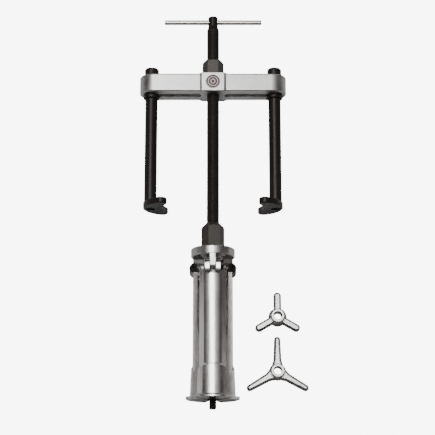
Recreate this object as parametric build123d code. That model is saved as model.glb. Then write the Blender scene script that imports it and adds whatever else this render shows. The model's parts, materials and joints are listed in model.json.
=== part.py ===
"""Internal bearing puller with three jaws and a two-legged crossbeam, laid on a bench.

A slotted crossbeam stands on two legs with crescent feet. The draw spindle hangs from
a tall nut on the beam's boss, and is turned by a tommy bar. A hexagon coupling joins
it to a thin pull rod, which turns in the extractor's head and runs a three-armed
spreader down between the jaws. Two larger spreaders lie beside the tool.

The tool is modelled upright: Z runs along the spindle, zero is the underside of the
jaws' feet, and the front is -Y. It is then laid on its back, so that in the finished
model +Y points to the tommy bar and +Z points up from the bench. Millimetres.
"""

import os
from math import cos, pi, radians, sin, sqrt

from build123d import *

# ---------------------------------------------------------------- driving dimensions

# Fits
RUN = 0.05  # radial clearance of a running or screwed pair
PLAY = 0.1  # axial clearance of faces that turn or slide on each other
SIDE = 0.2  # sideways clearance of a sliding piece
GAP = 0.3  # clearance of pieces that pass each other

# Jaws
JAW_COUNT = 3
JAW_LENGTH = 206.7  # underside of the feet to the pivot axis
JAW_HALF_ANGLE = 43.0
JAW_RADIUS = 31.5
JAW_WALL = 7.0
JAW_SHOULDER_DROP = 7.7  # pivot axis down to the top of the curved wall
JAW_SLOT_DEPTH = 6.0  # clevis slot below the top of the curved wall
JAW_TOP_CHAMFER = 1.5
BLOCK_HEIGHT = 52.0  # thick lower block, foot included
BLOCK_STEP = 2.0  # block's top edge outside the curved wall
BLOCK_TAPER = 2.0  # and its foot outside its top edge
BLOCK_EDGE = 1.0
JAW_FOOT_REACH = 6.5  # foot's rim outside the block
JAW_FOOT_THICKNESS = 4.2
JAW_FOOT_ROUND = 1.6
PAD_WIDTH = 12.6
PAD_HEIGHT = 17.0
FLAT_ANGLE = 40.0  # facing of the long edge flats, from the jaw's middle
FLAT_DEPTH = 0.9
FLAT_RUNOUT = 7.0  # slanted end of the flats, below the block's top

# Clevis and pivot
PIVOT_INSET = 5.5  # pivot axis inside the jaws' curved outer face
EAR_RADIUS = 9.8
EAR_WIDTH = 7.0
EAR_DROP = 6.0  # lower round of each ear, below the pivot axis
CLEVIS_SLOT = 10.0
LUG_TAPER = 2.0  # tip narrower than the root
LUG_TIP_RADIUS = 6.8
SCREW_RADIUS = 4.5
SCREW_HEAD_RADIUS = 7.5
SCREW_HEAD_HEIGHT = 5.0
SCREW_SOCKET = 6.0

# Extractor head, and the collar that holds it up
HEAD_OVERHANG = 3.25  # rim outside the jaws' curved outer face
HEAD_THICKNESS = 13.5
HEAD_EDGE = 1.2
HEAD_CLEARANCE = 6.5  # ears' tops up to the head's underside
HUB_CLEARANCE = 1.2  # hub's side to the ears
HUB_LENGTH = 26.0
COLLAR_RADIUS = 12.0
COLLAR_HEIGHT = 8.0

# Coupling
COUPLING_ACROSS_FLATS = 32.0
COUPLING_HEIGHT = 42.0
COUPLING_CONE = 8.5
COUPLING_MOUTH_WALL = 1.0  # round the spindle, at the top of the cone
COUPLING_TURN = 9.3  # corner from the crossbeam's line, degrees
SPINDLE_ENGAGEMENT = 20.0

# Pull rod
ROD_RADIUS = 6.0
ROD_PITCH = 1.75
ROD_BELOW_FEET = 15.0
ROD_CHAMFER = 1.2

# Draw spindle and tommy bar
SPINDLE_RADIUS = 10.0
SPINDLE_LENGTH = 372.0
SPINDLE_CHAMFER = 1.0
NECK_STEP = 2.25  # neck's side inside the thread's crests
NECK_HEIGHT = 17.0
NECK_CONE = 8.0
NECK_CHAMFER = 1.2
BAR_RADIUS = 4.0
BAR_LENGTH = 160.0
BAR_DROP = 9.0  # spindle's top down to the bar's axis
BAR_CHAMFER = 0.8

# Crossbeam
FEET_RISE = 303.0  # underside of the jaws' feet to the underside of the leg feet
BEAM_END = 19.0  # leg's outermost axis to the beam's end
BEAM_DEPTH = 48.0
BEAM_HEIGHT = 30.0
BEAM_EDGE = 2.5
BOSS_WIDTH = 44.0
BOSS_DEPTH = 54.0
BOSS_PROUD = 0.5  # boss above and below the beam
BOSS_CHAMFER = 4.0
SLOT_WIDTH = 16.0
SLOT_INNER_X = 19.0

# Badge
BADGE_RADIUS = 11.5
BADGE_THICKNESS = 2.0
BADGE_PROUD = 0.6
BADGE_RIM = 2.3  # plug's edge to the groove's outer side
BADGE_GROOVE_WIDTH = 1.0

# Draw nut
NUT_ACROSS_FLATS = 30.0
NUT_HEIGHT = 30.0
NUT_CONE = 7.0
NUT_MOUTH_WALL = 1.5  # round the spindle, at the top of the cone

# Legs
LEG_X = 100.0
LEG_RADIUS = 10.0
LEG_ROD_LENGTH = 174.5
LEG_EDGE = 0.8
WASHER_LAP = 5.0  # washer's rim past the slot's side
WASHER_THICKNESS = 6.3
CAP_LAP = 3.5  # cap's rim past the slot's side
CAP_HEIGHT = 15.4
CAP_CHAMFER = 2.0
CAP_SOCKET = 12.0
CAP_SOCKET_DEPTH = 7.0
STUD_RADIUS = 6.0
STUD_LENGTH = 26.0

# Feet
FOOT_THICKNESS = 10.0
FOOT_HALF_SPAN = 40.0  # leg axis to each horn's outer side
FOOT_LEDGE = 1.5  # crown of the outer arc past the leg's side
FOOT_FRONT = 20.0  # leg axis to the crown of the inner arc
FOOT_REACH = 27.5  # leg axis to the horns' inner side
HORN_RADIUS = 9.5
FOOT_EDGE = 2.0
FOOT_RECESS_ROOM = 1.0  # round the screw's head
FOOT_RECESS_DEPTH = 6.0
FOOT_SCREW_RADIUS = 4.0
FOOT_SCREW_LENGTH = 22.0
FOOT_SCREW_HEAD_RADIUS = 6.5
FOOT_SCREW_HEAD_HEIGHT = 4.5
FOOT_SCREW_SOCKET = 6.0

# Spreaders
SPREAD_TURNS = 28  # turns of the rod from rest to fully open
SPREAD_ANGLE = 3.4  # each jaw's opening over those turns, degrees
SMALL_TIP_ROOM = 2.5  # small spreader's tips to the jaws' plain bore
SMALL_REST = 100.0  # underside of its arms above the jaws' feet, at rest
SMALL_WIDTH = 11.0
MEDIUM_REACH = 40.0
MEDIUM_WIDTH = 12.0
MEDIUM_BEVEL = 3.2
MEDIUM_WEB_RADIUS = 14.5
LARGE_REACH = 55.5
LARGE_ROOT_WIDTH = 14.5
LARGE_TIP_WIDTH = 10.0
LARGE_BEVEL = 3.6
GUSSET_WIDTH = 24.0  # flare of each large arm at the hub
GUSSET_REACH = 28.0
STAR_HUB_RADIUS = 11.0
STAR_HUB_HEIGHT = 22.0
STAR_HUB_EDGE = 1.2
STAR_BORE_CHAMFER = 0.8
STAR_ARM_THICKNESS = 9.0
SMALL_BEVEL = 2.2
SMALL_WEB_RADIUS = 12.5
LARGE_WEB_RADIUS = 13.5
MEDIUM_PLACE = (102.5, 134.6)
LARGE_PLACE = (101.6, 47.8)

# ------------------------------------------------------------------- worked-out places

PIVOT_Z = JAW_LENGTH
JAW_TOP = PIVOT_Z - JAW_SHOULDER_DROP
JAW_BORE = JAW_RADIUS - JAW_WALL
BLOCK_RADIUS = JAW_RADIUS + BLOCK_STEP
BLOCK_FOOT_RADIUS = BLOCK_RADIUS + BLOCK_TAPER
JAW_FOOT_RADIUS = BLOCK_FOOT_RADIUS + JAW_FOOT_REACH
PIVOT_RADIUS = JAW_RADIUS - PIVOT_INSET
LUG_TOP_WIDTH = CLEVIS_SLOT - 2 * GAP
LUG_TIP_WIDTH = LUG_TOP_WIDTH - LUG_TAPER
SMALL_REACH = JAW_BORE - SMALL_TIP_ROOM
EAR_OUTER = CLEVIS_SLOT / 2 + EAR_WIDTH
HEAD_RADIUS = JAW_RADIUS + HEAD_OVERHANG
HUB_RADIUS = PIVOT_RADIUS - EAR_RADIUS - HUB_CLEARANCE
HEAD_RISE = EAR_RADIUS + HEAD_CLEARANCE
HEAD_UNDERSIDE = PIVOT_Z + HEAD_RISE
HEAD_TOP = HEAD_UNDERSIDE + HEAD_THICKNESS
COLLAR_TOP = HEAD_UNDERSIDE - HUB_LENGTH - PLAY
COUPLING_MOUTH_RADIUS = SPINDLE_RADIUS + COUPLING_MOUTH_WALL
COUPLING_BOTTOM = HEAD_TOP + PLAY
COUPLING_TOP = COUPLING_BOTTOM + COUPLING_HEIGHT
SPINDLE_BOTTOM = COUPLING_TOP - SPINDLE_ENGAGEMENT
SPINDLE_TOP = SPINDLE_BOTTOM + SPINDLE_LENGTH
NECK_RADIUS = SPINDLE_RADIUS - NECK_STEP
BAR_Z = SPINDLE_TOP - BAR_DROP
FOOT_BACK = LEG_RADIUS + FOOT_LEDGE
FOOT_RECESS_RADIUS = FOOT_SCREW_HEAD_RADIUS + FOOT_RECESS_ROOM
FOOT_TOP = FEET_RISE + FOOT_THICKNESS
LEG_TOP = FOOT_TOP + LEG_ROD_LENGTH
WASHER_RADIUS = SLOT_WIDTH / 2 + WASHER_LAP
WASHER_BOTTOM = LEG_TOP + PLAY
BEAM_LENGTH = 2 * (LEG_X + BEAM_END)
BEAM_BOTTOM = WASHER_BOTTOM + WASHER_THICKNESS + PLAY
BEAM_TOP = BEAM_BOTTOM + BEAM_HEIGHT
BEAM_MIDDLE = BEAM_BOTTOM + BEAM_HEIGHT / 2
BOSS_TOP = BEAM_TOP + BOSS_PROUD
BADGE_GROOVE_RADIUS = BADGE_RADIUS - BADGE_RIM
CAP_RADIUS = SLOT_WIDTH / 2 + CAP_LAP
CAP_SEAT = BEAM_TOP + PLAY
CAP_TOP = CAP_SEAT + CAP_HEIGHT
SHOULDER_RADIUS = SLOT_WIDTH / 2 - SIDE
SPREAD_TRAVEL = ROD_PITCH * SPREAD_TURNS
SPREAD_PER_MM = radians(SPREAD_ANGLE) / SPREAD_TRAVEL
RAMP_LOW = SMALL_REST - SPREAD_TRAVEL
AXIS_HEIGHT = max(FOOT_HALF_SPAN, JAW_FOOT_RADIUS * cos(radians(60 - JAW_HALF_ANGLE)))

LAID_DOWN = Location((0, 0, 0), (-90, 0, 0))


# ----------------------------------------------------------------------------- helpers


def round_bar(radius, low, high):
    """Solid cylinder on the Z axis between two heights."""
    return Pos(0, 0, (low + high) / 2) * Cylinder(radius, high - low)


def hexagon(across_flats, low, high, turn=0.0):
    """Hexagonal prism on the Z axis, with a corner along X when turn is 0."""
    outline = RegularPolygon(across_flats / 2, 6, major_radius=False, rotation=turn)
    return Pos(0, 0, low) * extrude(outline, high - low)


def turned(points):
    """Solid of revolution about Z, from radius and height points."""
    return revolve(Plane.XZ * make_face(Polyline(*points, close=True)), Axis.Z)


def coned_hexagon(across_flats, low, high, cone, mouth_radius, turn=0.0):
    """Hexagonal prism with its top turned down to a cone."""
    corner = across_flats / sqrt(3) + 1
    blank = [(0, low), (corner, low), (corner, high - cone), (mouth_radius, high), (0, high)]
    return hexagon(across_flats, low, high, turn) & turned(blank)


def top_edges(solid):
    """Edges of the highest flat face."""
    return solid.faces().filter_by(Axis.Z).sort_by(Axis.Z)[-1].edges()


def bottom_edges(solid):
    """Edges of the lowest flat face."""
    return solid.faces().filter_by(Axis.Z).sort_by(Axis.Z)[0].edges()


def around(index):
    """Turn that carries the front jaw's pieces to the jaw with this number."""
    return Rot(0, 0, index * 360 / JAW_COUNT)


# -------------------------------------------------------------------------------- jaws


def ramp_radius(height):
    """Bore of a closed jaw where the spreader's underside must touch it at this height."""
    opening = SPREAD_PER_MM * (SMALL_REST - height)
    return SMALL_REACH + GAP - opening * (PIVOT_Z - height)


def ramp_top():
    """Height at which the ramp runs out into the plain bore."""
    lift = (JAW_BORE - SMALL_REACH - GAP) / SPREAD_PER_MM
    drop = PIVOT_Z - SMALL_REST
    return SMALL_REST + (drop - sqrt(drop**2 - 4 * lift)) / 2


def jaw_section():
    """Jaw's cut face in the radial plane."""
    low_bore = ramp_radius(RAMP_LOW)
    high = ramp_top()
    middle = (RAMP_LOW + high) / 2
    ramp = ThreePointArc((low_bore, RAMP_LOW), (ramp_radius(middle), middle), (JAW_BORE, high))
    rest = Polyline(
        (JAW_BORE, high),
        (JAW_BORE, JAW_TOP),
        (JAW_RADIUS - JAW_TOP_CHAMFER, JAW_TOP),
        (JAW_RADIUS, JAW_TOP - JAW_TOP_CHAMFER),
        (JAW_RADIUS, BLOCK_HEIGHT),
        (BLOCK_RADIUS - BLOCK_EDGE, BLOCK_HEIGHT),
        (BLOCK_RADIUS, BLOCK_HEIGHT - BLOCK_EDGE),
        (BLOCK_FOOT_RADIUS, JAW_FOOT_THICKNESS + JAW_FOOT_ROUND),
        (BLOCK_FOOT_RADIUS + JAW_FOOT_ROUND, JAW_FOOT_THICKNESS),
        (JAW_FOOT_RADIUS - JAW_FOOT_ROUND / 2, JAW_FOOT_THICKNESS),
        (JAW_FOOT_RADIUS, JAW_FOOT_THICKNESS - JAW_FOOT_ROUND / 2),
        (JAW_FOOT_RADIUS, JAW_FOOT_ROUND / 2),
        (JAW_FOOT_RADIUS - JAW_FOOT_ROUND / 2, 0),
        (low_bore, 0),
        (low_bore, RAMP_LOW),
    )
    return make_face([ramp, rest])


def jaw_pad():
    """Raised pad above the block, on the middle of the jaw's outer face."""
    pad = round_bar(BLOCK_RADIUS - BLOCK_EDGE, BLOCK_HEIGHT - 1, BLOCK_HEIGHT + PAD_HEIGHT)
    pad &= Pos(0, -JAW_RADIUS, BLOCK_HEIGHT) * Box(PAD_WIDTH, 2 * JAW_WALL, 3 * PAD_HEIGHT)
    return pad


def edge_flat(side):
    """Cutter for the long flat along one outer edge, slanted at its lower end."""
    half = JAW_RADIUS
    outline = Polyline(
        (-half, BLOCK_HEIGHT + FLAT_RUNOUT),
        (half, BLOCK_HEIGHT - 3 * FLAT_RUNOUT),
        (half, JAW_TOP + 1),
        (-half, JAW_TOP + 1),
        close=True,
    )
    face = Plane.XZ.offset(JAW_RADIUS - FLAT_DEPTH) * make_face(outline)
    cutter = extrude(face, JAW_WALL)
    if side < 0:
        cutter = mirror(cutter, Plane.YZ)
    return Rot(0, 0, side * FLAT_ANGLE) * cutter


def clevis_ear():
    """Right-hand ear: a long round-ended plate, rooted in the curved wall."""
    plane = Plane.YZ.offset(CLEVIS_SLOT / 2 - 1)
    low = JAW_TOP - JAW_SLOT_DEPTH - EAR_RADIUS
    wall_front = sqrt(JAW_RADIUS**2 - EAR_OUTER**2)
    profile = Pos(-PIVOT_RADIUS, PIVOT_Z) * Circle(EAR_RADIUS)
    profile += Pos(-PIVOT_RADIUS, PIVOT_Z - EAR_DROP) * Circle(EAR_RADIUS)
    profile += Pos(-PIVOT_RADIUS, PIVOT_Z - EAR_DROP / 2) * Rectangle(2 * EAR_RADIUS, EAR_DROP)
    root = Polyline(
        (-wall_front, PIVOT_Z),
        (-JAW_BORE, PIVOT_Z),
        (-JAW_BORE, low),
        (-wall_front, low),
        close=True,
    )
    return extrude(plane * (profile + make_face(root)), EAR_WIDTH + 1)


def make_jaw():
    """Front jaw: curved wall, thick lower block, outward foot and a clevis on top."""
    wall = revolve(Plane.XZ * jaw_section(), Axis.Z, 2 * JAW_HALF_ANGLE)
    wall = Rot(0, 0, -90 - JAW_HALF_ANGLE) * wall
    for side in (-1, 1):
        wall -= edge_flat(side)
    ear = clevis_ear()
    jaw = wall + jaw_pad() + ear + mirror(ear, Plane.YZ)
    slot_low = JAW_TOP - JAW_SLOT_DEPTH
    slot_high = PIVOT_Z + 2 * EAR_RADIUS
    slot = Box(CLEVIS_SLOT, 4 * EAR_RADIUS, slot_high - slot_low)
    jaw -= Pos(0, -PIVOT_RADIUS, (slot_low + slot_high) / 2) * slot
    return jaw - pivot_bore()


def pivot_bore():
    """Cross hole of the front jaw's pivot."""
    hole = Cylinder(SCREW_RADIUS + RUN, 4 * EAR_OUTER)
    return Pos(0, -PIVOT_RADIUS, PIVOT_Z) * Rot(0, 90, 0) * hole


def make_pivot_screw(side):
    """Front jaw's pivot screw, with its head on the ear of the given side."""
    shank = round_bar(SCREW_RADIUS, -2 * EAR_OUTER, 0)
    head = round_bar(SCREW_HEAD_RADIUS, 0, SCREW_HEAD_HEIGHT)
    head = chamfer(top_edges(head), SCREW_HEAD_HEIGHT / 8)
    socket = hexagon(SCREW_SOCKET, SCREW_HEAD_HEIGHT / 3, SCREW_HEAD_HEIGHT + 1)
    screw = shank + head - socket
    return Pos(side * EAR_OUTER, -PIVOT_RADIUS, PIVOT_Z) * Rot(0, side * 90, 0) * screw


# -------------------------------------------------------------- extractor head and rod


def front_lug():
    """Tapered tongue under the head for the front jaw, round at its tip."""
    tip = PIVOT_Z - LUG_TIP_RADIUS
    hub_side = HUB_RADIUS - 1
    front = Polyline(
        (-LUG_TOP_WIDTH / 2, HEAD_UNDERSIDE + 1),
        (LUG_TOP_WIDTH / 2, HEAD_UNDERSIDE + 1),
        (LUG_TIP_WIDTH / 2, tip),
        (-LUG_TIP_WIDTH / 2, tip),
        close=True,
    )
    side = Polyline(
        (-HEAD_RADIUS, HEAD_UNDERSIDE + 1),
        (-hub_side, HEAD_UNDERSIDE + 1),
        (-hub_side, tip),
        (-PIVOT_RADIUS, tip),
        (-PIVOT_RADIUS - LUG_TIP_RADIUS, PIVOT_Z),
        (-HEAD_RADIUS, HEAD_UNDERSIDE),
        close=True,
    )
    side_face = make_face(side) + Pos(-PIVOT_RADIUS, PIVOT_Z) * Circle(LUG_TIP_RADIUS)
    lug = extrude(Plane.YZ * side_face, LUG_TOP_WIDTH, both=True)
    lug &= extrude(Plane.XZ * make_face(front), 2 * HEAD_RADIUS)
    return lug & round_bar(HEAD_RADIUS - HEAD_EDGE / 2, tip - 1, HEAD_TOP)


def make_head():
    """Turned disc with a hub and three lugs, bored to turn on the pull rod."""
    disc = round_bar(HEAD_RADIUS, HEAD_UNDERSIDE, HEAD_TOP)
    disc = chamfer(top_edges(disc) + bottom_edges(disc), HEAD_EDGE)
    head = disc + round_bar(HUB_RADIUS, HEAD_UNDERSIDE - HUB_LENGTH, HEAD_UNDERSIDE)
    lug = front_lug()
    for index in range(JAW_COUNT):
        head += around(index) * lug
    for index in range(JAW_COUNT):
        head -= around(index) * pivot_bore()
    return head - round_bar(ROD_RADIUS + RUN, 0, SPINDLE_TOP)


def make_collar():
    """Collar on the pull rod that carries the head from below."""
    collar = round_bar(COLLAR_RADIUS, COLLAR_TOP - COLLAR_HEIGHT, COLLAR_TOP)
    collar = chamfer(top_edges(collar) + bottom_edges(collar), RUN * 10)
    return collar - round_bar(ROD_RADIUS + RUN, 0, SPINDLE_TOP)


def make_coupling():
    """Long hexagon coupling: spindle screwed in above, pull rod below."""
    body = coned_hexagon(
        COUPLING_ACROSS_FLATS,
        COUPLING_BOTTOM,
        COUPLING_TOP,
        COUPLING_CONE,
        COUPLING_MOUTH_RADIUS,
        COUPLING_TURN,
    )
    body -= round_bar(SPINDLE_RADIUS + RUN, SPINDLE_BOTTOM, SPINDLE_TOP)
    return body - round_bar(ROD_RADIUS + RUN, 0, SPINDLE_TOP)


def make_pull_rod():
    """Threaded rod from below the jaws' feet up into the coupling."""
    rod = round_bar(ROD_RADIUS, -ROD_BELOW_FEET, SPINDLE_BOTTOM - PLAY)
    return chamfer(bottom_edges(rod), ROD_CHAMFER)


# --------------------------------------------------------------- spindle, nut and beam


def make_spindle():
    """Threaded spindle with a coned top and a turned neck, cross-bored for the bar."""
    neck_bottom = SPINDLE_TOP - NECK_HEIGHT
    spindle = turned(
        [
            (0, SPINDLE_BOTTOM),
            (SPINDLE_RADIUS - SPINDLE_CHAMFER, SPINDLE_BOTTOM),
            (SPINDLE_RADIUS, SPINDLE_BOTTOM + SPINDLE_CHAMFER),
            (SPINDLE_RADIUS, neck_bottom - NECK_CONE),
            (NECK_RADIUS, neck_bottom),
            (NECK_RADIUS, SPINDLE_TOP - NECK_CHAMFER),
            (NECK_RADIUS - NECK_CHAMFER, SPINDLE_TOP),
            (0, SPINDLE_TOP),
        ]
    )
    hole = Cylinder(BAR_RADIUS + RUN, 4 * SPINDLE_RADIUS)
    return spindle - Pos(0, 0, BAR_Z) * Rot(0, 90, 0) * hole


def make_tommy_bar():
    """Plain round bar that slides through the spindle's neck."""
    bar = round_bar(BAR_RADIUS, -BAR_LENGTH / 2, BAR_LENGTH / 2)
    bar = chamfer(top_edges(bar) + bottom_edges(bar), BAR_CHAMFER)
    return Pos(0, 0, BAR_Z) * Rot(0, 90, 0) * bar


def make_draw_nut():
    """Tall hexagon nut that stands on the boss and draws the spindle up."""
    seat = BOSS_TOP + PLAY
    nut = coned_hexagon(
        NUT_ACROSS_FLATS, seat, seat + NUT_HEIGHT, NUT_CONE, SPINDLE_RADIUS + NUT_MOUTH_WALL
    )
    return nut - round_bar(SPINDLE_RADIUS + RUN, 0, SPINDLE_TOP)


def slot_cutter(side):
    """Through slot on one side of the boss, round at both ends."""
    outer = LEG_X + SLOT_WIDTH / 2
    length = outer - SLOT_INNER_X
    slot = extrude(SlotOverall(length, SLOT_WIDTH), 3 * BEAM_HEIGHT)
    return Pos(side * (SLOT_INNER_X + length / 2), 0, BEAM_BOTTOM - BEAM_HEIGHT) * slot


def make_beam():
    """Slotted bar with round ends and a square boss bored for the spindle."""
    bar = Pos(0, 0, BEAM_BOTTOM) * extrude(SlotOverall(BEAM_LENGTH, BEAM_DEPTH), BEAM_HEIGHT)
    bar = fillet(top_edges(bar) + bottom_edges(bar), BEAM_EDGE)
    boss = Box(BOSS_WIDTH, BOSS_DEPTH, BEAM_HEIGHT + 2 * BOSS_PROUD)
    boss = chamfer(boss.edges().filter_by(Axis.Z), BOSS_CHAMFER)
    boss = chamfer(top_edges(boss) + bottom_edges(boss), BOSS_PROUD)
    beam = bar + Pos(0, 0, BEAM_MIDDLE) * boss
    for side in (-1, 1):
        beam -= slot_cutter(side)
    beam -= round_bar(SPINDLE_RADIUS + GAP, 0, SPINDLE_TOP)
    pocket_depth = BADGE_THICKNESS - BADGE_PROUD
    pocket = round_bar(BADGE_RADIUS + RUN, -pocket_depth, pocket_depth)
    return beam - badge_place() * pocket


def badge_place():
    """Middle of the boss's front face, with Z pointing out of it."""
    return Pos(0, -BOSS_DEPTH / 2, BEAM_MIDDLE) * Rot(90, 0, 0)


def make_badge():
    """Plain round plug with one turned groove, seated in the boss."""
    plug = round_bar(BADGE_RADIUS, BADGE_PROUD - BADGE_THICKNESS, BADGE_PROUD)
    plug = chamfer(top_edges(plug), BADGE_PROUD / 2)
    groove = round_bar(BADGE_GROOVE_RADIUS, BADGE_PROUD / 2, 2 * BADGE_PROUD)
    groove -= round_bar(BADGE_GROOVE_RADIUS - BADGE_GROOVE_WIDTH, 0, 3 * BADGE_PROUD)
    return badge_place() * (plug - groove)


# ---------------------------------------------------------------------- legs and feet


def make_leg():
    """Left leg: round rod, tapped at both ends."""
    leg = round_bar(LEG_RADIUS, FOOT_TOP, LEG_TOP)
    leg = chamfer(top_edges(leg), LEG_EDGE)
    leg -= round_bar(STUD_RADIUS + RUN, LEG_TOP - STUD_LENGTH - 1, LEG_TOP + 1)
    leg -= round_bar(FOOT_SCREW_RADIUS + RUN, FOOT_TOP - 1, FOOT_TOP + FOOT_SCREW_LENGTH)
    return Pos(-LEG_X, 0, 0) * leg


def make_washer():
    """Left leg's thick washer under the beam."""
    washer = round_bar(WASHER_RADIUS, WASHER_BOTTOM, WASHER_BOTTOM + WASHER_THICKNESS)
    washer = chamfer(top_edges(washer) + bottom_edges(washer), LEG_EDGE)
    washer -= round_bar(SHOULDER_RADIUS + RUN, LEG_TOP, CAP_SEAT)
    return Pos(-LEG_X, 0, 0) * washer


def make_cap_screw():
    """Left leg's cap screw: round head on the beam and a shoulder through the slot."""
    cap = round_bar(CAP_RADIUS, CAP_SEAT, CAP_TOP)
    cap = chamfer(top_edges(cap), CAP_CHAMFER)
    screw = cap + round_bar(SHOULDER_RADIUS, LEG_TOP, CAP_SEAT)
    screw += round_bar(STUD_RADIUS, LEG_TOP - STUD_LENGTH, LEG_TOP)
    screw -= hexagon(CAP_SOCKET, CAP_TOP - CAP_SOCKET_DEPTH, CAP_TOP + 1)
    return Pos(-LEG_X, 0, 0) * screw


def foot_outline():
    """Crescent in plan, on the leg's axis, with its hollow side towards +X.

    Both long arcs meet the round horns without a corner.
    """
    horn = Vector(FOOT_REACH - HORN_RADIUS, FOOT_HALF_SPAN - HORN_RADIUS)
    behind = horn.X + FOOT_BACK
    ahead = FOOT_FRONT - horn.X
    back_radius = behind**2 + horn.Y**2 - HORN_RADIUS**2
    back_radius /= 2 * (behind - HORN_RADIUS)
    front_radius = ahead**2 + horn.Y**2 - HORN_RADIUS**2
    front_radius /= 2 * (HORN_RADIUS - ahead)
    to_back = (horn - Vector(back_radius - FOOT_BACK, 0)).normalized()
    to_front = (Vector(front_radius + FOOT_FRONT, 0) - horn).normalized()
    to_tip = (to_back + to_front).normalized()
    start, tip, end = [horn + way * HORN_RADIUS for way in (to_back, to_tip, to_front)]
    edges = [
        ThreePointArc((start.X, start.Y), (-FOOT_BACK, 0), (start.X, -start.Y)),
        ThreePointArc((start.X, -start.Y), (tip.X, -tip.Y), (end.X, -end.Y)),
        ThreePointArc((end.X, -end.Y), (FOOT_FRONT, 0), (end.X, end.Y)),
        ThreePointArc((end.X, end.Y), (tip.X, tip.Y), (start.X, start.Y)),
    ]
    return make_face(edges)


def make_foot():
    """Left foot: crescent plate under the leg, recessed below for its screw."""
    foot = Pos(0, 0, FEET_RISE) * extrude(foot_outline(), FOOT_THICKNESS)
    foot = fillet(top_edges(foot) + bottom_edges(foot), FOOT_EDGE)
    foot -= round_bar(FOOT_RECESS_RADIUS, FEET_RISE - 1, FEET_RISE + FOOT_RECESS_DEPTH)
    foot -= round_bar(FOOT_SCREW_RADIUS + RUN, FEET_RISE - 1, FOOT_TOP + 1)
    return Pos(-LEG_X, 0, 0) * foot


def make_foot_screw():
    """Left foot's cap screw, with its head up inside the recess."""
    seat = FEET_RISE + FOOT_RECESS_DEPTH
    low = seat - FOOT_SCREW_HEAD_HEIGHT
    screw = round_bar(FOOT_SCREW_HEAD_RADIUS, low, seat)
    screw += round_bar(FOOT_SCREW_RADIUS, seat, FOOT_TOP + FOOT_SCREW_LENGTH - 1)
    screw -= hexagon(FOOT_SCREW_SOCKET, low - 1, low + FOOT_SCREW_HEAD_HEIGHT / 2)
    return Pos(-LEG_X, 0, 0) * screw


# --------------------------------------------------------------------------- spreaders


def star_arm(root_width, tip_width, reach, bevel):
    """One arm along +Y, standing on Z = 0, with bevelled upper edges and a round tip."""
    tip_radius = tip_width / 2
    end = reach - tip_radius
    outline = make_face(
        Polyline(
            (-root_width / 2, 0),
            (root_width / 2, 0),
            (tip_radius, end),
            (-tip_radius, end),
            close=True,
        )
    )
    outline += Pos(0, end) * Circle(tip_radius)
    arm = extrude(outline, STAR_ARM_THICKNESS)
    return chamfer(top_edges(arm), bevel)


def make_star(reach, root_width, tip_width, web_radius, bevel):
    """Three-armed spreader with a tapped hub, standing on Z = 0, one arm along +Y."""
    star = round_bar(STAR_HUB_RADIUS, 0, STAR_HUB_HEIGHT)
    star = chamfer(top_edges(star), STAR_HUB_EDGE)
    web = round_bar(web_radius, 0, STAR_ARM_THICKNESS)
    star += chamfer(top_edges(web), bevel)
    for index in range(JAW_COUNT):
        star += around(index) * star_arm(root_width, tip_width, reach, bevel)
    bore = ROD_RADIUS + RUN
    mouth = bore + STAR_BORE_CHAMFER
    high = STAR_HUB_HEIGHT
    points = [(0, -1), (bore, -1), (bore, high - STAR_BORE_CHAMFER), (mouth, high), (mouth, high + 1)]
    return star - turned(points + [(0, high + 1)])


def make_fitted_star():
    """Smallest spreader, on the pull rod at the top of the jaws' ramps."""
    star = make_star(SMALL_REACH, SMALL_WIDTH, SMALL_WIDTH, SMALL_WEB_RADIUS, SMALL_BEVEL)
    return Pos(0, 0, SMALL_REST) * Rot(0, 0, 180) * star


def make_large_star():
    """Largest spreader: its arms flare where they meet the hub."""
    star = make_star(
        LARGE_REACH, LARGE_ROOT_WIDTH, LARGE_TIP_WIDTH, LARGE_WEB_RADIUS, LARGE_BEVEL
    )
    for index in range(JAW_COUNT):
        star += around(index) * star_arm(
            GUSSET_WIDTH, LARGE_TIP_WIDTH, GUSSET_REACH, LARGE_BEVEL
        )
    return star - round_bar(ROD_RADIUS + RUN, -1, STAR_HUB_HEIGHT + 1)


def lay_on_bench(star, place):
    """Puts a spare spreader flat on the bench at the given X and Y."""
    return Pos(place[0], place[1], -AXIS_HEIGHT) * star


# -------------------------------------------------------------------------- write-out


def tool_nodes():
    """Solids of the upright tool, by node name."""
    nodes = {
        "crossbeam": make_beam(),
        "boss_badge": make_badge(),
        "draw_nut": make_draw_nut(),
        "draw_spindle": make_spindle(),
        "tommy_bar": make_tommy_bar(),
        "hex_coupling": make_coupling(),
        "pull_rod": make_pull_rod(),
        "head_collar": make_collar(),
        "extractor_head": make_head(),
        "spreader_small": make_fitted_star(),
    }
    jaw = make_jaw()
    for index, (place, side) in enumerate((("front", 1), ("right", -1), ("left", 1))):
        nodes[f"jaw_{place}"] = around(index) * jaw
        nodes[f"pivot_screw_{place}"] = around(index) * make_pivot_screw(side)
    leg_pieces = {
        "leg": make_leg(),
        "leg_washer": make_washer(),
        "cap_screw": make_cap_screw(),
        "foot": make_foot(),
        "foot_screw": make_foot_screw(),
    }
    for name, solid in leg_pieces.items():
        nodes[f"{name}_left"] = solid
        nodes[f"{name}_right"] = Rot(0, 0, 180) * solid
    return nodes


def all_nodes():
    """Every node's solid in the finished, laid-down frame."""
    nodes = {name: LAID_DOWN * solid for name, solid in tool_nodes().items()}
    medium = make_star(
        MEDIUM_REACH, MEDIUM_WIDTH, MEDIUM_WIDTH, MEDIUM_WEB_RADIUS, MEDIUM_BEVEL
    )
    large = make_large_star()
    nodes["spreader_medium"] = lay_on_bench(medium, MEDIUM_PLACE)
    nodes["spreader_large"] = lay_on_bench(large, LARGE_PLACE)
    return nodes


os.makedirs("parts", exist_ok=True)
for node_name, node_solid in all_nodes().items():
    export_step(node_solid, f"parts/{node_name}.step")

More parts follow.
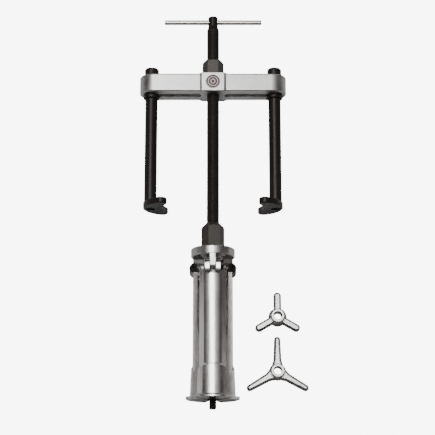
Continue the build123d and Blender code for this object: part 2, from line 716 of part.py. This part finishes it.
print("spreader travel", SPREAD_TRAVEL, "mm, per radian", round(ROD_PITCH / (2 * pi), 5))
print("each foot opens by", round(JAW_LENGTH * sin(radians(SPREAD_ANGLE)), 2), "mm")
print("jaw bore below the ramp", round(ramp_radius(RAMP_LOW), 2), "at height", RAMP_LOW)
print("axis above the bench", round(AXIS_HEIGHT, 3), "spindle top", SPINDLE_TOP)
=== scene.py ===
# %% [markdown]
# # An internal bearing puller on a bench
#
# The puller is a machine of bright and black metal: a satin crossbeam on two black
# legs, a black threaded spindle, and three polished jaws that hook into a bearing.
# Its exact shapes arrive as a fixed model in metres. This lesson gives every surface
# the finish of the real metal, and cuts the threads that the fixed model leaves out.

# %% Load the fixed model and note its box
import json
import math

import bmesh
import bpy
from mathutils import Matrix, Vector


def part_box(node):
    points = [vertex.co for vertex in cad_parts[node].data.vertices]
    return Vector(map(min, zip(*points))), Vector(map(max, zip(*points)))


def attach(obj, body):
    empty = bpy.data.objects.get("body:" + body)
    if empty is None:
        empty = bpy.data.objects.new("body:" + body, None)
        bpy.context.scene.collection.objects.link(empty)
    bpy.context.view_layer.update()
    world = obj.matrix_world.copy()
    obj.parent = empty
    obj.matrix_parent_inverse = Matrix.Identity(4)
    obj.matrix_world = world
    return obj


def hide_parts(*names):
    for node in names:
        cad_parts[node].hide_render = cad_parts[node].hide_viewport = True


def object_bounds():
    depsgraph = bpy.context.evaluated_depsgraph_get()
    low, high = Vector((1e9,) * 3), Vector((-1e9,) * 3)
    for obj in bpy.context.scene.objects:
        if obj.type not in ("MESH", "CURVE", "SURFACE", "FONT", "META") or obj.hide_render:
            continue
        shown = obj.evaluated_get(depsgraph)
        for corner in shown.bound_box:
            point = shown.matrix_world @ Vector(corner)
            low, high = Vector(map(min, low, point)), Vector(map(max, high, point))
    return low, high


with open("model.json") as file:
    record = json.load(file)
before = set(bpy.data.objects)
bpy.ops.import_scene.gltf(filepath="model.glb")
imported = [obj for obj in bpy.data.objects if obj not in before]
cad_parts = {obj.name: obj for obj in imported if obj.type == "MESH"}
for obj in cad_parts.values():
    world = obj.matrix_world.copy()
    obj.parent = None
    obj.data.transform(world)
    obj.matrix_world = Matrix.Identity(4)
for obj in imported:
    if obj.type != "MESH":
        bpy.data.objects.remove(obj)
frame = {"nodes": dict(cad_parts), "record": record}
cad_low, cad_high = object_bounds()
nodes = frame["nodes"]
bench_height = cad_low[2]
print("pieces in the fixed model:", len(nodes), "bench at", round(bench_height, 5))

# %% [markdown]
# ## The camera
#
# The tool is seen from almost straight above, from far away through a long lens, so
# its long sides stay nearly parallel. The camera stands a little towards the jaws and
# leans back, which shows the undersides of the beam and the feet. The aim is a point
# on the spindle's line, halfway along the tool.

# %% Stand the camera over the bench
AIM = Vector((0.0073, 0.289, 0.0))
AIM_TO_CAMERA = Vector((0.0, -0.2521, 0.9677)).normalized()
CAMERA_DISTANCE = 2.1306

camera_data = bpy.data.cameras.new("bench_camera")
camera_data.lens = 110.9
camera_data.sensor_width = 36.0
camera = bpy.data.objects.new("bench_camera", camera_data)
camera.location = AIM + AIM_TO_CAMERA * CAMERA_DISTANCE
camera.rotation_euler = (-AIM_TO_CAMERA).to_track_quat("-Z", "Y").to_euler()
bpy.context.scene.collection.objects.link(camera)
bpy.context.scene.camera = camera
print("camera height above the bench:", round(camera.location.z - bench_height, 3))

# %% [markdown]
# ## Light and bench
#
# Polished metal shows what stands around it. A big soft lamp above the bench gives
# each round piece one bright line, and two weak long lamps near the bench touch the
# sides of the legs. The surrounding light is bright only overhead and dark towards the
# horizon, because chrome with nothing dark to mirror looks like white paint.


# %% Soft lamps and an empty surrounding
def soft_lamp(name, place, target, size, power):
    """A rectangular lamp that points from its place to the target."""
    data = bpy.data.lights.new(name, "AREA")
    data.shape = "RECTANGLE"
    data.size, data.size_y = size
    data.energy = power
    lamp = bpy.data.objects.new(name, data)
    lamp.location = place
    lamp.rotation_euler = (Vector(target) - Vector(place)).to_track_quat("-Z", "Y").to_euler()
    bpy.context.scene.collection.objects.link(lamp)
    return lamp


middle = (0.0, 0.3, 0.0)
soft_lamp("lamp_above", (-0.25, 0.75, 2.0), middle, (0.7, 1.4), 26)
soft_lamp("lamp_left", (-2.0, 0.4, 0.45), middle, (0.3, 1.8), 1.6)
soft_lamp("lamp_right", (2.0, 0.2, 0.45), middle, (0.3, 1.8), 1.2)

world = bpy.data.worlds.new("workshop_light")
bpy.context.scene.world = world
world.use_nodes = True

# %% [markdown]
# ## Arithmetic on node sockets
#
# A shader is a web of small nodes, and writing one by hand hides the idea in
# book-keeping. The small class here wraps a socket, so that ordinary arithmetic in
# Python adds the Math nodes. The web itself has one method for every other node.


# %% A socket that arithmetic works on
class Value:
    """One node output. An expression on it adds Math nodes to its web."""

    def __init__(self, web, socket):
        self.web = web
        self.socket = socket

    def math(self, operation, *others):
        return self.web.add("ShaderNodeMath", {"operation": operation}, (self, *others))

    def __add__(self, other):
        return self.math("ADD", other)

    def __sub__(self, other):
        return self.math("SUBTRACT", other)

    def __rsub__(self, other):
        return self.web.add("ShaderNodeMath", {"operation": "SUBTRACT"}, (other, self))

    def __mul__(self, other):
        return self.math("MULTIPLY", other)

    def __truediv__(self, other):
        return self.math("DIVIDE", other)

    def clamp(self, low=0.0, high=1.0):
        return self.math("MAXIMUM", low).math("MINIMUM", high)

    __radd__ = __add__
    __rmul__ = __mul__


class Web:
    """A node tree that nodes are added to, one call each."""

    def __init__(self, tree):
        self.tree = tree

    def add(self, kind, settings=None, inputs=(), output=0):
        node = self.tree.nodes.new(kind)
        for key, value in (settings or {}).items():
            if key == "stops":
                self.set_stops(node, value)
            else:
                setattr(node, key, value)
        pairs = inputs.items() if isinstance(inputs, dict) else enumerate(inputs)
        for key, value in pairs:
            self.feed(node.inputs[key], value)
        return Value(self, node.outputs[output])

    def feed(self, socket, value):
        if isinstance(value, Value):
            self.tree.links.new(value.socket, socket)
        else:
            socket.default_value = value

    def set_stops(self, node, stops):
        ramp = node.color_ramp.elements
        while len(ramp) < len(stops):
            ramp.new(1.0)
        for element, (place, colour) in zip(ramp, stops):
            element.position = place
            element.color = colour


# %% Light that is pale overhead and darker at the horizon
sky = Web(world.node_tree)
direction = sky.add("ShaderNodeTexCoord", output="Generated")
height = sky.add("ShaderNodeSeparateXYZ", inputs=(direction,), output="Z")
GREY_STOPS = [
    (0.0, (0.80, 0.80, 0.81, 1)),
    (0.49, (0.80, 0.80, 0.81, 1)),
    (0.52, (0.10, 0.095, 0.095, 1)),
    (0.62, (0.085, 0.073, 0.070, 1)),
    (0.87, (0.090, 0.079, 0.076, 1)),
    (0.935, (0.42, 0.42, 0.43, 1)),
    (0.965, (0.95, 0.95, 0.95, 1)),
    (1.0, (1.0, 1.0, 1.0, 1)),
]
dome = sky.add("ShaderNodeValToRGB", {"stops": GREY_STOPS}, (height * 0.5 + 0.5,))
backdrop = world.node_tree.nodes["Background"]
sky.feed(backdrop.inputs["Color"], dome)
backdrop.inputs["Strength"].default_value = 0.85
print("sky stops:", len(GREY_STOPS))

# %% [markdown]
# ## Metal finishes
#
# All the metals share one recipe. The grain is noise stretched along the direction in
# which the tool mark or the polish ran. It changes roughness and lifts the surface by
# a few hundredths of a millimetre. A slow blotchy noise shifts the colour, as oil and
# handling do. The last part finds the edges: a Bevel node rounds the normal near an
# edge, so where that normal differs from the flat one, the finish has worn through.


# %% One recipe for worked metal
BLOTCH_CYCLES = 38.0  # slow colour patches per metre
PIT_CYCLES = 900.0  # small pits per metre
EDGE_RADIUS = 0.0006  # how far wear reaches in from an edge, metres
EDGE_GAIN = 9.0  # how soon a slight turn of the normal counts as an edge


def worked_metal(
    name, colour, worn, roughness, grain, depth, blotch=0.12, wear=0.6, metallic=1.0, sheen=0.5
):
    """A metal with directional grain, blotches and edges worn to another colour."""
    material = bpy.data.materials.new(name)
    material.use_nodes = True
    web = Web(material.node_tree)
    shader = material.node_tree.nodes["Principled BSDF"]
    place = web.add("ShaderNodeTexCoord", output="Object")
    stretched = web.add("ShaderNodeMapping", inputs={"Vector": place, "Scale": grain})
    fine = web.add(
        "ShaderNodeTexNoise",
        inputs={"Vector": stretched, "Scale": 1.0, "Detail": 4.0, "Roughness": 0.6},
    )
    slow = web.add(
        "ShaderNodeTexNoise", inputs={"Vector": place, "Scale": BLOTCH_CYCLES, "Detail": 3.0}
    )
    pits = web.add(
        "ShaderNodeTexNoise", inputs={"Vector": place, "Scale": PIT_CYCLES, "Detail": 2.0}
    )
    rounded = web.add("ShaderNodeBevel", {"samples": 4}, {"Radius": EDGE_RADIUS})
    flat = web.add("ShaderNodeNewGeometry", output="Normal")
    alike = web.add("ShaderNodeVectorMath", {"operation": "DOT_PRODUCT"}, (rounded, flat), "Value")
    edge = ((1.0 - alike) * EDGE_GAIN * (slow + 0.45)).clamp() * wear
    shade = 1.0 + (slow - 0.5) * blotch * 2.0 + (fine - 0.5) * blotch
    base = web.add(
        "ShaderNodeVectorMath", {"operation": "SCALE"}, {"Vector": colour, "Scale": shade}, "Vector"
    )
    mixed = web.add(
        "ShaderNodeMix", {"data_type": "RGBA"}, {0: edge, 6: base, 7: (*worn, 1.0)}, 2
    )
    web.feed(shader.inputs["Base Color"], mixed)
    rough = (roughness + (fine - 0.5) * 0.22 + (slow - 0.5) * 0.14 - edge * 0.08).clamp(0.04, 1.0)
    web.feed(shader.inputs["Roughness"], rough)
    shader.inputs["Metallic"].default_value = metallic
    shader.inputs["Specular IOR Level"].default_value = sheen
    relief = fine + pits * 0.35
    bump = web.add(
        "ShaderNodeBump",
        inputs={"Height": relief, "Distance": depth, "Strength": 0.6, "Normal": rounded},
    )
    web.feed(shader.inputs["Normal"], bump)
    return material


# %% [markdown]
# The finishes differ in colour, gloss and the direction of their grain. Grain numbers
# are noise cycles per metre along X, Y and Z: a low number makes a long streak. The
# beam was brushed along its length (X), the jaws were polished along theirs (Y). Black
# oxide is a thin dull coat and not bare metal, so it has little metal in it and a weak
# mirror, which keeps it dark where it is seen at a flat angle.

# %% The puller's own finishes
RECIPES = {
    "satin_aluminium": dict(
        colour=(0.56, 0.555, 0.545),
        worn=(0.80, 0.79, 0.78),
        roughness=0.38,
        grain=(60, 1100, 1100),
        depth=8e-5,
        blotch=0.34,
    ),
    "black_oxide_steel": dict(
        colour=(0.020, 0.0155, 0.013),
        worn=(0.10, 0.082, 0.07),
        roughness=0.38,
        grain=(1500, 500, 1500),
        depth=3e-5,
        blotch=0.35,
        wear=0.5,
        metallic=0.25,
        sheen=0.28,
    ),
    "dark_steel": dict(
        colour=(0.060, 0.054, 0.048),
        worn=(0.26, 0.24, 0.22),
        roughness=0.46,
        grain=(1400, 240, 1400),
        depth=4e-5,
        blotch=0.30,
        metallic=0.6,
    ),
    "bright_bar": dict(
        colour=(0.66, 0.64, 0.61),
        worn=(0.85, 0.84, 0.82),
        roughness=0.30,
        grain=(90, 2400, 2400),
        depth=2e-5,
        blotch=0.12,
    ),
    "ground_steel": dict(
        colour=(0.52, 0.51, 0.50),
        worn=(0.88, 0.88, 0.87),
        roughness=0.27,
        grain=(300, 3200, 300),
        depth=2e-5,
        blotch=0.10,
    ),
    "polished_chrome": dict(
        colour=(0.62, 0.60, 0.585),
        worn=(0.90, 0.89, 0.88),
        roughness=0.22,
        grain=(700, 20, 700),
        depth=2e-5,
        blotch=0.14,
    ),
    "cast_spreader_steel": dict(
        colour=(0.42, 0.41, 0.40),
        worn=(0.62, 0.61, 0.60),
        roughness=0.27,
        grain=(500, 500, 500),
        depth=6e-5,
        blotch=0.25,
        wear=0.3,
    ),
}
finishes = {name: worked_metal(name, **recipe) for name, recipe in RECIPES.items()}
print("finishes:", sorted(finishes))


# %% Dress every solid of the fixed model in its slot's finish
def dress(thing, material):
    """Gives all of an object's faces one material."""
    thing.data.materials.clear()
    thing.data.materials.append(material)


slot_of = {entry["node"]: entry["material_slot"] for entry in frame["record"]["subparts"]}
for node_name, node_object in nodes.items():
    dress(node_object, finishes.get(slot_of[node_name], finishes["ground_steel"]))
print("dressed:", len(slot_of))

# %% [markdown]
# ## The badge
#
# The roundel on the beam's boss is a plug of bright metal with maroon rings. Its
# pattern is a shader, because rings are only distances from the middle: the distance
# goes through a ramp whose steps are the rings. Subtracting the plug's middle from each
# point's place centres the pattern on it, and the height is dropped, because the rings
# are seen from above.

# %% Rings by distance from the badge's middle
badge_low, badge_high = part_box("boss_badge")
badge_middle = [(a + b) / 2 for a, b in zip(badge_low, badge_high)]
badge_radius = (badge_high[0] - badge_low[0]) / 2

badge_enamel = bpy.data.materials.new("badge_enamel")
badge_enamel.use_nodes = True
rings = Web(badge_enamel.node_tree)
badge_shader = badge_enamel.node_tree.nodes["Principled BSDF"]
spot = rings.add("ShaderNodeTexCoord", output="Object")
centred = rings.add(
    "ShaderNodeVectorMath", {"operation": "SUBTRACT"}, (spot, badge_middle), "Vector"
)
plane = rings.add(
    "ShaderNodeVectorMath", {"operation": "MULTIPLY"}, (centred, (1.0, 1.0, 0.0)), "Vector"
)
reach = rings.add("ShaderNodeVectorMath", {"operation": "LENGTH"}, (plane,), "Value") / badge_radius
METAL, MAROON = (0.46, 0.43, 0.42, 1), (0.050, 0.008, 0.008, 1)
RING_STOPS = [
    (0.0, MAROON), (0.22, METAL), (0.36, MAROON), (0.60, METAL), (0.73, MAROON), (0.92, METAL),
]
ring_colour = rings.add("ShaderNodeValToRGB", {"stops": RING_STOPS}, (reach,))
badge_enamel.node_tree.nodes["Color Ramp"].color_ramp.interpolation = "CONSTANT"
rings.feed(badge_shader.inputs["Base Color"], ring_colour)
grain = rings.add("ShaderNodeTexNoise", inputs={"Vector": spot, "Scale": 1400.0, "Detail": 2.0})
rings.feed(badge_shader.inputs["Roughness"], grain * 0.25 + 0.2)
rings.feed(
    badge_shader.inputs["Normal"],
    rings.add("ShaderNodeBump", inputs={"Height": grain, "Distance": 2e-5, "Strength": 0.5}),
)
badge_shader.inputs["Metallic"].default_value = 0.25
dress(nodes["boss_badge"], badge_enamel)
print("badge radius:", round(badge_radius, 5))

# %% [markdown]
# ## The threads
#
# The spindle and the pull rod are threaded from end to end, and the fixed model has
# them as plain cylinders. A thread is a rule: as the angle grows by one turn, the
# groove moves along by one pitch. So one Geometry Nodes tree makes both. It bends a
# flat grid round the axis and sets each point's radius from its height plus its angle.
# The groove's depth fades over the last turn at both ends.

# %% A tree that cuts a thread of any size
THREAD_INPUTS = {
    "Bottom": 0.0,
    "Top": 0.1,
    "Radius": 0.01,
    "Depth": 0.001,
    "Pitch": 0.0025,
    "Plain End": 0.002,
    "Chamfer": 0.001,
}
ROUND_STEPS = 36
ROWS_PER_PITCH = 6
THREAD_DEPTH = 0.0009


def thread_tree(material, rows):
    """Geometry Nodes tree for a threaded rod along Y, open at both ends."""
    tree = bpy.data.node_groups.new("cut_thread", "GeometryNodeTree")
    face = tree.interface
    for label, start in THREAD_INPUTS.items():
        socket = face.new_socket(label, in_out="INPUT", socket_type="NodeSocketFloat")
        socket.default_value = start
    face.new_socket("Geometry", in_out="OUTPUT", socket_type="NodeSocketGeometry")
    web = Web(tree)
    source = tree.nodes.new("NodeGroupInput")
    size = {label: Value(web, source.outputs[label]) for label in THREAD_INPUTS}
    grid = web.add("GeometryNodeMeshGrid", inputs=(1.0, 1.0, rows, ROUND_STEPS + 1))
    where = web.add("GeometryNodeInputPosition")
    along = web.add("ShaderNodeSeparateXYZ", inputs=(where,), output="X") + 0.5
    turn = web.add("ShaderNodeSeparateXYZ", inputs=(where,), output="Y") + 0.5
    length = size["Top"] - size["Bottom"]
    height = size["Bottom"] + along * length
    phase = (height / size["Pitch"] + turn).math("FRACT")
    groove = 1.0 - ((phase - 0.5).math("ABSOLUTE") * 2.6 - 0.25).clamp()
    from_end = (0.5 - (along - 0.5).math("ABSOLUTE")) * length
    fade = ((from_end - size["Plain End"]) / size["Pitch"]).clamp()
    cone = (size["Chamfer"] - from_end).math("MAXIMUM", 0.0)
    radius = size["Radius"] - size["Depth"] * groove * fade - cone
    angle = turn * (2 * math.pi)
    point = web.add(
        "ShaderNodeCombineXYZ",
        inputs=(radius * angle.math("SINE"), height, radius * angle.math("COSINE")),
    )
    bent = web.add("GeometryNodeSetPosition", inputs={"Geometry": grid, "Position": point})
    joined = web.add("GeometryNodeMergeByDistance", inputs={"Geometry": bent, "Distance": 1e-6})
    real = web.add("GeometryNodeRealizeInstances", inputs=(joined,))
    painted = web.add("GeometryNodeSetMaterial", inputs={"Geometry": real, "Material": material})
    sink = tree.nodes.new("NodeGroupOutput")
    web.feed(sink.inputs["Geometry"], painted)
    return tree


# %% Run a tree and keep its result as a plain mesh
def grown_by_nodes(name, tree, sizes):
    """Runs a Geometry Nodes tree with the named sizes and returns a plain mesh object."""
    seedling = bpy.data.objects.new(name + "_seed", bpy.data.meshes.new(name + "_seed"))
    bpy.context.scene.collection.objects.link(seedling)
    modifier = seedling.modifiers.new("grow", "NODES")
    modifier.node_group = tree
    for item in tree.interface.items_tree:
        if item.item_type == "SOCKET" and item.in_out == "INPUT" and item.name in sizes:
            modifier[item.identifier] = sizes[item.name]
    graph = bpy.context.evaluated_depsgraph_get()
    mesh = bpy.data.meshes.new_from_object(seedling.evaluated_get(graph), depsgraph=graph)
    mesh.name = name
    thing = bpy.data.objects.new(name, mesh)
    bpy.context.scene.collection.objects.link(thing)
    bpy.data.objects.remove(seedling)
    return thing


def close_ends(thing):
    """Fills every open rim and turns all faces outwards."""
    work = bmesh.new()
    work.from_mesh(thing.data)
    rims = [edge for edge in work.edges if edge.is_boundary]
    bmesh.ops.holes_fill(work, edges=rims, sides=0)
    bmesh.ops.recalc_face_normals(work, faces=work.faces)
    work.to_mesh(thing.data)
    open_edges = sum(edge.is_boundary for edge in work.edges)
    work.free()
    return open_edges


# %% Pull rod: a fine thread from the jaws' feet to the coupling
rod_low, rod_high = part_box("pull_rod")
ROD_PITCH = 0.00175
END_CHAMFER = 0.0012
rod_rows = int((rod_high[1] - rod_low[1]) / ROD_PITCH * ROWS_PER_PITCH)
pull_rod = grown_by_nodes(
    "pull_rod_threaded",
    thread_tree(finishes["black_oxide_steel"], rod_rows),
    {
        "Bottom": rod_low[1],
        "Top": rod_high[1],
        "Radius": (rod_high[0] - rod_low[0]) / 2,
        "Depth": THREAD_DEPTH,
        "Pitch": ROD_PITCH,
        "Plain End": 0.0,
        "Chamfer": END_CHAMFER,
    },
)
print("pull rod open edges:", close_ends(pull_rod), "faces:", len(pull_rod.data.polygons))
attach(pull_rod, "spindle_body")
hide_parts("pull_rod")

# %% [markdown]
# The spindle is the same thread on a thicker bar, and stops below the cone at its
# top. The cone and the neck are turned plain, and the neck is drilled for the tommy
# bar. They are one small lathe shape, with the hole cut by a Boolean.

# %% Spindle: thread up to the cone
spindle_low, spindle_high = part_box("draw_spindle")
SPINDLE_PITCH = 0.0015
NECK_HEIGHT, CONE_HEIGHT, NECK_RADIUS = 0.017, 0.008, 0.00775
bar_low, bar_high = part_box("tommy_bar")
spindle_radius = (spindle_high[0] - spindle_low[0]) / 2
cone_foot = spindle_high[1] - NECK_HEIGHT - CONE_HEIGHT
spindle_rows = int((cone_foot - spindle_low[1]) / SPINDLE_PITCH * ROWS_PER_PITCH)
spindle_thread = grown_by_nodes(
    "spindle_threaded",
    thread_tree(finishes["black_oxide_steel"], spindle_rows),
    {
        "Bottom": spindle_low[1],
        "Top": cone_foot,
        "Radius": spindle_radius,
        "Depth": THREAD_DEPTH,
        "Pitch": SPINDLE_PITCH,
        "Plain End": 0.0,
        "Chamfer": 0.0,
    },
)
print("spindle open edges:", close_ends(spindle_thread))
print("spindle faces:", len(spindle_thread.data.polygons))


# %% Spindle's top: a lathe shape with a cross hole
def lathe(name, outline, steps=64):
    """Closed shape turned about Y from points of radius and height."""
    work = bmesh.new()
    loops = []
    for radius, height in outline:
        ring = []
        for step in range(steps):
            angle = 2 * math.pi * step / steps
            point = (radius * math.sin(angle), height, radius * math.cos(angle))
            ring.append(work.verts.new(point))
        loops.append(ring)
    for low, high in zip(loops, loops[1:]):
        for step in range(steps):
            after = (step + 1) % steps
            work.faces.new((low[step], low[after], high[after], high[step]))
    work.faces.new(loops[0])
    work.faces.new(loops[-1])
    bmesh.ops.recalc_face_normals(work, faces=work.faces)
    mesh = bpy.data.meshes.new(name)
    work.to_mesh(mesh)
    work.free()
    thing = bpy.data.objects.new(name, mesh)
    bpy.context.scene.collection.objects.link(thing)
    return thing


BAR_CLEARANCE = 5e-5
DRILL_REACH = 0.02
neck_foot = spindle_high[1] - NECK_HEIGHT
spindle_top = lathe(
    "spindle_neck",
    [
        (spindle_radius, cone_foot),
        (NECK_RADIUS, neck_foot),
        (NECK_RADIUS, spindle_high[1] - END_CHAMFER),
        (NECK_RADIUS - END_CHAMFER, spindle_high[1]),
    ],
)
bar_radius = (bar_high[1] - bar_low[1]) / 2
hole_radius = bar_radius + BAR_CLEARANCE
drill = lathe("drill", [(hole_radius, -DRILL_REACH), (hole_radius, DRILL_REACH)], 48)
bar_line = Vector((0.0, (bar_low[1] + bar_high[1]) / 2, 0.0))
drill.data.transform(Matrix.Translation(bar_line) @ Matrix.Rotation(math.radians(90), 4, "Z"))
cut = spindle_top.modifiers.new("cross_hole", "BOOLEAN")
cut.operation = "DIFFERENCE"
cut.solver = "EXACT"
cut.object = drill
graph = bpy.context.evaluated_depsgraph_get()
drilled = spindle_top.evaluated_get(graph)
spindle_top.data = bpy.data.meshes.new_from_object(drilled, depsgraph=graph)
spindle_top.modifiers.clear()
bpy.data.objects.remove(drill)
dress(spindle_top, finishes["black_oxide_steel"])
for piece in (spindle_thread, spindle_top):
    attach(piece, "spindle_body")
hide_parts("draw_spindle")
print("neck faces:", len(spindle_top.data.polygons))

# %% [markdown]
# ## The bench top
#
# The bench is a broad sheet of plain pale material at the height of the tool's lowest
# points. It is part of the stage and not of the puller. A Light Path node makes it glow
# nearly white where it is looked at directly, while the metal still mirrors a plain
# grey bench. A bench that really shone that much would wash out every lower surface.

# %% Lay the bench under the tool
bench_mesh = bpy.data.meshes.new("bench_top")
BENCH_REACH = 6.0
SIDES = [(-1, -1), (1, -1), (1, 1), (-1, 1)]
corners = [(x * BENCH_REACH, y * BENCH_REACH) for x, y in SIDES]
bench_mesh.from_pydata([(x, y, bench_height) for x, y in corners], [], [(0, 1, 2, 3)])
bench = bpy.data.objects.new("bench_top", bench_mesh)
bpy.context.scene.collection.objects.link(bench)
bench_paint = bpy.data.materials.new("bench_paint")
bench_paint.use_nodes = True
bench_web = Web(bench_paint.node_tree)
bench_shader = bench_paint.node_tree.nodes["Principled BSDF"]
bench_place = bench_web.add("ShaderNodeTexCoord", output="Object")
mottle = bench_web.add("ShaderNodeTexNoise", inputs={"Vector": bench_place, "Scale": 30.0})
bench_web.feed(bench_shader.inputs["Roughness"], mottle * 0.1 + 0.75)
bench_shader.inputs["Base Color"].default_value = (0.60, 0.60, 0.60, 1)
glow = bench_web.add(
    "ShaderNodeEmission", inputs={"Color": (1.0, 0.99, 0.985, 1), "Strength": 9.0}
)
seen_directly = bench_web.add("ShaderNodeLightPath", output="Is Camera Ray")
paint = Value(bench_web, bench_shader.outputs[0])
both = bench_web.add("ShaderNodeMixShader", inputs=(seen_directly * 0.9, paint, glow))
bench_web.feed(bench_paint.node_tree.nodes["Material Output"].inputs["Surface"], both)
bench_mesh.materials.append(bench_paint)
